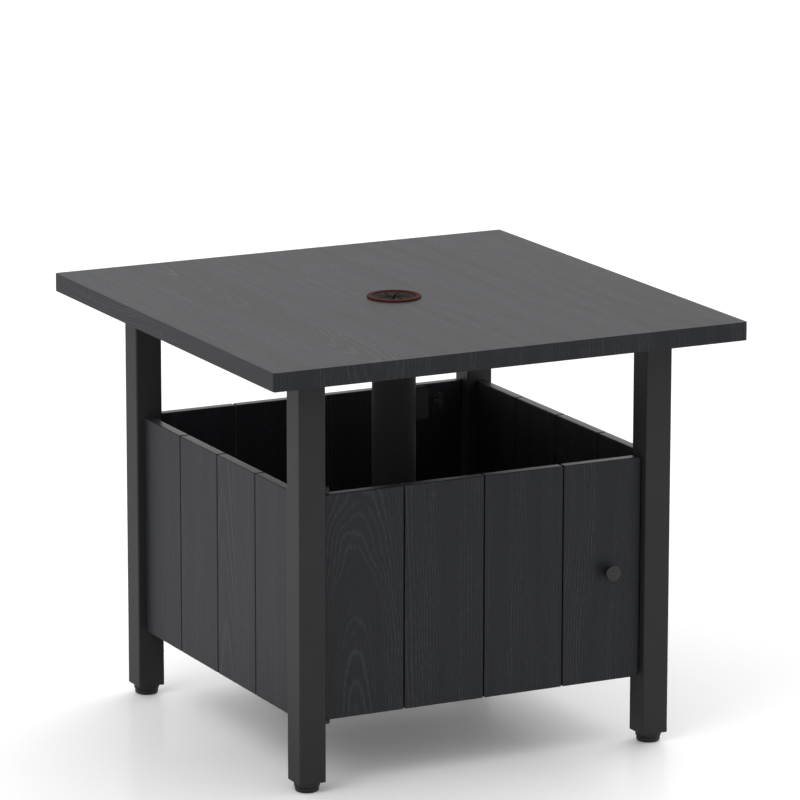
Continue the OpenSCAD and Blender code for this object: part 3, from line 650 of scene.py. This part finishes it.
zinc = zinc_plate("zinc_plate", *ZINC_BRIGHT, rough=0.28)
dark_zinc = zinc_plate("dark_zinc", *ZINC_DARK, rough=0.5)
low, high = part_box("hinge_pins")
pin_low, pin_high = low.z / MM, high.z / MM
door_bottom, door_top = door_low.z / MM, door_high.z / MM
pins = joined("hinge_pins_turned", [
    turned("lower_pin", [
        (PIN_TIP_R, pin_low), (PIN_R, pin_low + 0.5), (PIN_R, pin_low + PIN_IN_EAR),
        (PIN_HEAD_R, pin_low + PIN_IN_EAR), (PIN_HEAD_R, door_bottom - 0.3), (PIN_R, door_bottom - 0.3),
        (PIN_R, door_bottom + PIN_IN_DOOR), (PIN_TIP_R, door_bottom + PIN_IN_DOOR + 0.5)], sides=32),
    turned("upper_pin", [
        (PIN_TIP_R, door_top - PIN_IN_DOOR - 0.5), (PIN_R, door_top - PIN_IN_DOOR),
        (PIN_R, pin_high - PIN_HEAD), (PIN_HEAD_R, pin_high - PIN_HEAD), (PIN_HEAD_R, pin_high - 1.6),
        (3.1, pin_high - 0.8), (2.2, pin_high - 0.2), (0.5, pin_high)], sides=32),
])
hinge_at = middle("hinge_pins")
pins.data.transform(Matrix.Translation((hinge_at.x, hinge_at.y, 0)))
dressed(pins, dark_zinc, "frame", "zinc", "hinge_pins")

# The catch: a moulded box on the middle rail with a magnet between two steel bars, and a plated strike on
# the door with rounded corners.
CATCH_PLASTIC = ((0.012, 0.012, 0.012, 1), (0.022, 0.022, 0.022, 1))
CATCH_NOSE = 3 * MM
BAR_THICK = 1.6
BAR_DEEP = 4
BAR_IN = 4.0
BAR_SHORT = 3.8
STRIKE_CORNER_R = 2 * MM
STRIKE_EDGE_R = 0.35 * MM
catch_finish = moulded_plastic("catch_plastic", *CATCH_PLASTIC, rough=0.45)
low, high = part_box("catch_body")
case = block("catch_case", low + Y * CATCH_NOSE, high)
modified(case, "BEVEL", width=1.4 * MM, segments=3, limit_method="ANGLE")
nose = block("catch_nose", low + Vector((2.5, 0.6, 3.0)) * MM,
             Vector((high.x, low.y, high.z)) + Vector((-2.5, 6, -3.0)) * MM)
modified(nose, "BEVEL", width=0.6 * MM, segments=2, limit_method="ANGLE")
case = joined("catch_case", [case, nose])
soft_shaded(case)
dressed(case, catch_finish, "frame", "black_plastic", "catch_body")
bars = []
for x in (low.x + BAR_IN * MM, high.x - (BAR_IN + BAR_THICK) * MM):
    bar = block("catch_bar", Vector((x, low.y, low.z + BAR_SHORT * MM)),
                Vector((x + BAR_THICK * MM, low.y + BAR_DEEP * MM, high.z - BAR_SHORT * MM)))
    modified(bar, "BEVEL", width=0.3 * MM, segments=2, limit_method="ANGLE")
    bars.append(bar)
bars = joined("catch_bars", bars)
dressed(bars, zinc, "frame", "zinc")
low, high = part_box("catch_strike")
strike = block("strike_plate", low, high)
round_corners(strike, Y, lambda p: STRIKE_CORNER_R)
round_outline(strike, Y, STRIKE_EDGE_R, lambda p: STRIKE_EDGE_R)
soft_shaded(strike)
dressed(strike, zinc, "door", "zinc", "catch_strike")

# The pole clamp: a black screw with a hub and a wing handle runs through the block on the tube, and
# presses a pad that doesn't turn with it.
HANDLE_PLASTIC = ((0.014, 0.014, 0.014, 1), (0.021, 0.021, 0.021, 1))
PAD_RUBBER = ((0.015, 0.0115, 0.0095, 1), (0.027, 0.0205, 0.017, 1))
WING_ROOT = 0.2
WING_THICK = 6.6
WING_STEPS = ((2.7, 0.72, 0.9), (1.8, 1.12, 0.86))
HUB_LONG = 6.0
HUB_R = 5.25
low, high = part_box("clamp_screw")
clamp_z = middle("clamp_screw").z
tip = low.x / MM
wing_in = high.x / MM - WING_THICK
hub_in = wing_in - HUB_LONG
handle_finish = moulded_plastic("handle_plastic", *HANDLE_PLASTIC, rough=0.7, scale=700, level=0.1)
wing = block("wing", Vector((-4, -4.2, WING_ROOT)) * MM, Vector((4, 4.2, WING_THICK)) * MM)
wing_middle = Z * (WING_ROOT + WING_THICK) / 2 * MM
only(wing)
bpy.ops.object.mode_set(mode="EDIT")
bpy.ops.mesh.select_mode(type="FACE")
for sign in (1, -1):
    for reach, broader, thinner in WING_STEPS:
        bpy.ops.mesh.select_all(action="DESELECT")
        shell = bmesh.from_edit_mesh(wing.data)
        outer = max(shell.faces, key=lambda f: f.calc_center_median().y * sign)
        outer.select_set(True)
        bmesh.update_edit_mesh(wing.data)
        bpy.ops.mesh.extrude_region_move(TRANSFORM_OT_translate={"value": (0, sign * reach * MM, 0)})
        bpy.ops.transform.resize(value=(broader, 1, thinner), center_override=wing_middle)
bpy.ops.object.mode_set(mode="OBJECT")
modified(wing, "BEVEL", width=1.3 * MM, segments=4, limit_method="ANGLE", angle_limit=math.radians(50))
soft_shaded(wing)
set_on(wing, Vector((wing_in * MM, 0, clamp_z)), X)
shank = joined("clamp_shank", [
    turned("shank", [
        (2.2, tip), (2.4, tip + 0.3), (2.4, tip + 1.5), (ROD_R, tip + 1.5), (ROD_R, hub_in), (4.6, hub_in),
        (HUB_R, hub_in + 0.7), (HUB_R, hub_in + 5.2), (4.4, wing_in + 0.9)]),
    thread("clamp_thread", ROD_THREAD_R, tip + 2.4, hub_in - 1.6, THREAD_PITCH),
])
set_on(shank, Z * clamp_z, X)
handle = joined("clamp_handle", [shank, wing])
dressed(handle, handle_finish, "clamp_turner", "handle_plastic", "clamp_screw")

rubber = moulded_plastic("soft_rubber", *PAD_RUBBER, rough=0.8, scale=600, level=0.06)
low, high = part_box("clamp_pad")
pad_l = (high.x - low.x) / MM
pad = turned("pressure_pad", [
    (4.6, 0), (5.3, 0.5), (5.5, 1.0), (5.5, pad_l - 0.4), (5.1, pad_l), (2.45, pad_l), (2.45, pad_l - 1.4)])
set_on(pad, Vector((low.x, 0, clamp_z)), X)
dressed(pad, rubber, "clamp_slider", "petal_rubber", "clamp_pad")

# The umbrella ring: a moulded red-brown flange with a rounded rim and a neck in the top's hole. Its ledge
# holds a soft disc cut into eight curved petals, which part for the umbrella's pole.
RING_DARK = (0.042, 0.008, 0.0065, 1)
RING_LIGHT = (0.068, 0.0135, 0.0115, 1)
low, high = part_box("umbrella_ring")
rim_r, rim_z, neck_z = high.x / MM, high.z / MM, low.z / MM
ring_in, neck_in, neck_out = rim_r - 5.8, rim_r - 6.6, rim_r - 4.4
seat_z = rim_z - 2.4
ledge_z = rim_z - 2.8
rim = turned("umbrella_rim", [
    (neck_in, neck_z), (neck_out, neck_z), (neck_out, seat_z), (rim_r - 0.5, seat_z),
    (rim_r - 0.12, seat_z + 0.3), (rim_r, seat_z + 0.75), (rim_r - 0.14, rim_z - 0.92),
    (rim_r - 0.5, rim_z - 0.36), (rim_r - 1.1, rim_z - 0.06), (rim_r - 2.0, rim_z),
    (ring_in + 1.9, rim_z - 0.02), (ring_in + 0.9, rim_z - 0.12), (ring_in + 0.25, rim_z - 0.46),
    (ring_in, rim_z - 0.9), (ring_in, ledge_z), (neck_in, ledge_z)], ROUND_SIDES, closed=True)
ring_finish = satin_paint("ring_plastic", RING_DARK, RING_LIGHT, rough=0.66, level=0.05)
dressed(rim, ring_finish, "ring", "ring_plastic", "umbrella_ring")

PETALS = 8
PETAL_PITCH = 2 * math.pi / PETALS
PETAL_TURN = math.radians(24)
PETAL_REACH = 22.1
PETAL_TIP = 0.045
PETAL_DROP = 0.12
PETAL_FALL = 1.5
PETAL_SAG = 0.25
PETAL_THICK = 0.9
PETAL_STEPS = (22, 14)
SLIT_CURVE_R = 26
SLIT_HALF = 0.95
WIDE_SLIT = 3
WIDE_SLIT_SHARE = 1.3
BAND_THICK = 1.3
low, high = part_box("petal_disc")
disc_r, disc_z = high.x / MM, high.z / MM


def petal_point(share, turn):
    """A point on the curve from the middle to the petals' reach, turned round the middle."""
    theta = 2 * math.asin(share * PETAL_REACH / (2 * SLIT_CURVE_R))
    x, y = SLIT_CURVE_R * (1 - math.cos(theta)), SLIT_CURVE_R * math.sin(theta)
    return Vector((x * math.cos(turn) - y * math.sin(turn), x * math.sin(turn) + y * math.cos(turn), 0))


def slit_half(k, share):
    """Half the width of a slit, which closes towards the band; every fourth slit stands open wider."""
    widest = SLIT_HALF * (WIDE_SLIT_SHARE if k % 4 == WIDE_SLIT else 1.0)
    return widest * min(1, 1.25 * (1 - share) + 0.35)


def petal(i):
    """One leaf between two slits: a grid whose columns follow the slits, crowned across its middle."""
    drop_selection()
    along_n, across_n = PETAL_STEPS
    bpy.ops.mesh.primitive_grid_add(x_subdivisions=across_n, y_subdivisions=along_n, size=2)
    leaf = bpy.context.object
    leaf.name = leaf.data.name = "petal"
    for vertex in leaf.data.vertices:
        side = (vertex.co.x + 1) / 2
        share = PETAL_TIP + (1 - PETAL_TIP) * (vertex.co.y + 1) / 2
        radius = share * PETAL_REACH
        first = PETAL_TURN + i * PETAL_PITCH + slit_half(i, share) / radius
        last = PETAL_TURN + (i + 1) * PETAL_PITCH - slit_half(i + 1, share) / radius
        if last < first:
            first = last = (first + last) / 2
        flat = petal_point(share, first + (last - first) * side)
        crown = math.sin(math.pi * side) ** 0.8
        fall = PETAL_FALL * (1 - crown) * (1 - share ** 3) + PETAL_SAG * (1 - share) ** 2
        vertex.co = Vector((flat.x, flat.y, disc_z - PETAL_DROP - fall)) * MM
    return leaf


leaves = joined("petals", [petal(i) for i in range(PETALS)])
only(leaves)
bpy.ops.object.mode_set(mode="EDIT")
bpy.ops.mesh.select_all(action="SELECT")
bpy.ops.mesh.remove_doubles(threshold=2e-5)
bpy.ops.mesh.normals_make_consistent(inside=False)
bpy.ops.object.mode_set(mode="OBJECT")
if sum(face.normal.z for face in leaves.data.polygons) < 0:
    leaves.data.flip_normals()
modified(leaves, "SOLIDIFY", thickness=PETAL_THICK * MM, offset=-1)
band = turned("petal_band", [
    (PETAL_REACH - 0.4, disc_z - BAND_THICK), (disc_r, disc_z - BAND_THICK), (disc_r, disc_z - 0.1),
    (disc_r - 0.3, disc_z), (PETAL_REACH + 0.5, disc_z), (PETAL_REACH - 0.4, disc_z - PETAL_DROP)],
    ROUND_SIDES, closed=True)
leaves = joined("petals", [leaves, band])
only(leaves)
bpy.ops.object.shade_smooth_by_angle(angle=math.radians(40))
dressed(leaves, rubber, "ring", "petal_rubber", "petal_disc")

# The screws: pan heads with a cross recess, zinc plated. They hold the top, the shelf, the tube's plates
# and the catch to the frame, the boards to the rails, and the door's boards, knob and strike.
SCREW_PROFILE = [
    (1.2, -2.4), (2.3, -2.26), (3.2, -1.85), (3.75, -1.2), (4.0, -0.5), (4.0, 0), (1.8, 0), (1.8, 6.0),
    (0.5, 8.0)]
SCREW_END = SCREW_PROFILE[-1][1]
RECESS_LONG, RECESS_WIDE = 2.1, 0.42
RECESS_TOP, RECESS_FLOOR = -2.6, -1.3
HEAD_TURN = 1.13
BITE = 9
BOARD_THICK = 12
RAIL_THICK = 15
PLATE_THICK = 4
STRIKE_THICK = 1.5
RAIL_SCREW = 118.5 * MM
SHELF_SCREW = 202 * MM
PLATE_SCREW_R = 38 * MM
STRIKE_SCREW = 12.5 * MM
CATCH_SCREW_LONG = 15.2
RAIL_INSIDE = 194.5 * MM
arms = [block("arm", Vector((-x, -y, RECESS_TOP)) * MM, Vector((x, y, RECESS_FLOOR)) * MM)
        for x, y in ((RECESS_LONG, RECESS_WIDE), (RECESS_WIDE, RECESS_LONG))]
cutter = joined("cross", arms)
modified(cutter, "REMESH", mode="SHARP", octree_depth=5, scale=0.9)
screw_master = turned("screw_master", SCREW_PROFILE, sides=24)
cut_out(screw_master, cutter)
only(screw_master)
bpy.ops.object.shade_smooth_by_angle(angle=SMOOTH_ANGLE)


def screws(name, body, node, places):
    """All the screws of one node, by the points under their heads, their ways and their lengths in mm; each
    is turned on from the last, so that the recesses don't line up."""
    made = []
    for k, (point, toward, length) in enumerate(places):
        screw = copy_at(screw_master, "screw", (0, 0, 0))
        for vertex in screw.data.vertices:
            if vertex.co.z > SCREW_END / 2 * MM:
                vertex.co.z += (length - SCREW_END) * MM
        made.append(set_on(screw, point, toward, k * HEAD_TURN))
    dressed(joined(name, made), zinc, body, "zinc", node)


low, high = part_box("front_top_rail")
rail_depth = (high.z - low.z) / MM
places = []
for side, axis in (("front", X), ("rear", X), ("left", Y), ("right", Y)):
    rail = middle(side + "_top_rail")
    for s in (-RAIL_SCREW, RAIL_SCREW):
        spot = Vector((rail.x, rail.y, top_low.z - rail_depth * MM)) + axis * s
        places.append((spot, Z, rail_depth + BITE))
socket_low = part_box("tube_foot_socket")[0].z
for a in (45, 135, 225, 315):
    spot = Vector((math.cos(math.radians(a)), math.sin(math.radians(a)), 0)) * PLATE_SCREW_R
    places.append((spot + Z * (top_low.z - PLATE_THICK * MM), Z, PLATE_THICK + BITE))
    places.append((spot + Z * (socket_low + PLATE_THICK * MM), -Z, PLATE_THICK + BITE))
for side, x in (("left", -SHELF_SCREW), ("right", SHELF_SCREW)):
    rail_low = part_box(side + "_low_rail")[0].z
    for s in (-RAIL_SCREW, RAIL_SCREW):
        places.append((Vector((x, s, rail_low)), Z, RAIL_THICK + BITE))
low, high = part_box("catch_body")
for share in (0.4, 0.8):
    spot = Vector((low.x, low.y + share * (high.y - low.y), middle("catch_body").z))
    places.append((spot, X, CATCH_SCREW_LONG))
screws("frame_screw_set", "frame", "frame_screws", places)

places = []
for side, outward in (("rear", Y), ("left", -X), ("right", X)):
    for i in range(1, 5):
        plank = middle(f"{side}_plank_{i}")
        spot = plank + outward * (RAIL_INSIDE - plank.dot(outward))
        for rail in ("rear_low_rail", "rear_mid_rail"):
            places.append((Vector((spot.x, spot.y, middle(rail).z)), outward, RAIL_THICK + BITE))
screws("board_screw_set", "frame", "plank_screws", places)

door_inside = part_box("door_plank_1")[1].y
batten_inside = door_inside + BOARD_THICK * MM
places = [(Vector((middle(f"door_plank_{i}").x, batten_inside, middle(batten).z)), -Y, BOARD_THICK + BITE)
          for i in range(1, 5) for batten in ("door_upper_batten", "door_lower_batten")]
places.append((Vector((knob_middle.x, door_inside, knob_middle.z)), -Y, BOARD_THICK + BITE))
strike_at = middle("catch_strike")
for s in (-STRIKE_SCREW, STRIKE_SCREW):
    spot = Vector((strike_at.x, door_inside + STRIKE_THICK * MM, strike_at.z + s))
    places.append((spot, -Y, STRIKE_THICK + BITE))
screws("door_screw_set", "door", "door_screws", places)
bpy.data.objects.remove(screw_master)

# The floor, the light and the camera: a pale studio floor with a faint sheen, a soft box at the upper left,
# and a sky that is brighter low down on the right behind the table, so that the shadow falls forwards.
SKY = 0.7
SKY_GLOW = 2.6
GLOW_WAY = (0.73, 0.61, 0.31)
GLOW_FOCUS = 5.0
KEY_POWER = 31.5
FLOOR_TONE = 0.86
FLOOR_SEEN = 1.05
FLOOR_GLOW = 0.035
FLOOR_SHEEN = 0.055
FLOOR_ROUGH = 0.16
KEY_SIZE = 2.4
KEY_PLACE = (-2.6, -0.9, 2.9)
KEY_AIM = Vector((0, 0, 0.25))
VIEW_LENS = 236.92
VIEW_PLACE = (-2.6199, -5.1907, 1.7228)
VIEW_TURN = (76.9251, -0.0797, -26.8315)
drop_selection()
bpy.ops.mesh.primitive_plane_add(size=60, location=(0, 0, 0))
floor = bpy.context.object
floor.name = "studio_floor"
material, tree = new_finish("studio_floor")
path = Signal.node(tree, "LightPath", out="Is Camera Ray")
plain = Signal.node(tree, "BsdfDiffuse", {}, {"Color": (FLOOR_TONE, FLOOR_TONE, FLOOR_TONE, 1)})
seen = Signal.node(tree, "BsdfDiffuse", {}, {"Color": (FLOOR_SEEN, FLOOR_SEEN, FLOOR_SEEN, 1)})
# To the camera the floor also glows faintly, painted light that lifts its shadow.
glow = Signal.node(tree, "Emission", {}, {"Strength": FLOOR_GLOW})
sheen = Signal.node(tree, "BsdfAnisotropic", {},
                    {"Color": (FLOOR_SHEEN, FLOOR_SHEEN, FLOOR_SHEEN, 1), "Roughness": FLOOR_ROUGH})
lustre = Signal.node(tree, "AddShader", {}, {0: glow, 1: sheen})
seen = Signal.node(tree, "AddShader", {}, {0: seen, 1: lustre})
surface = Signal.node(tree, "MixShader", {}, {0: path, 1: plain, 2: seen})
Signal.node(tree, "OutputMaterial", {}, {"Surface": surface})
floor.data.materials.append(material)

world = bpy.data.worlds.new("studio")
bpy.context.scene.world = world
world.use_nodes = True
world.node_tree.nodes.clear()
tree = world.node_tree
path = Signal.node(tree, "LightPath", out="Is Camera Ray")
mirrored = path.beside("Is Glossy Ray").math("MAXIMUM", path.beside("Is Transmission Ray"))
bright = path.math("MAXIMUM", mirrored)
way = Signal.node(tree, "TexCoord", out="Generated")
east = Signal.node(tree, "SeparateXYZ", {}, {0: way}, out="X")
facing = east * GLOW_WAY[0] + east.beside("Y") * GLOW_WAY[1] + east.beside("Z") * GLOW_WAY[2]
soft = facing.math("MAXIMUM", 0.0).math("POWER", GLOW_FOCUS) * SKY_GLOW + SKY
strength = bright * (1 - soft) + soft
sky = Signal.node(tree, "Background", {}, {"Color": (1, 1, 1, 1), "Strength": strength})
Signal.node(tree, "OutputWorld", {}, {"Surface": sky})

key = bpy.data.lights.new("key_softbox", "AREA")
key.shape = "RECTANGLE"
key.size = key.size_y = KEY_SIZE
key.energy = KEY_POWER
key_holder = bpy.data.objects.new("key_softbox", key)
bpy.context.scene.collection.objects.link(key_holder)
key_holder.location = KEY_PLACE
key_holder.rotation_euler = (KEY_AIM - key_holder.location).to_track_quat("-Z", "Y").to_euler()

camera = bpy.data.cameras.new("photo_view")
camera.lens = VIEW_LENS
camera.sensor_width = 36
camera.clip_end = 200
viewer = bpy.data.objects.new("photo_view", camera)
bpy.context.scene.collection.objects.link(viewer)
viewer.location = VIEW_PLACE
viewer.rotation_euler = [math.radians(angle) for angle in VIEW_TURN]
bpy.context.scene.camera = viewer
bpy.context.scene.view_settings.view_transform = "Standard"
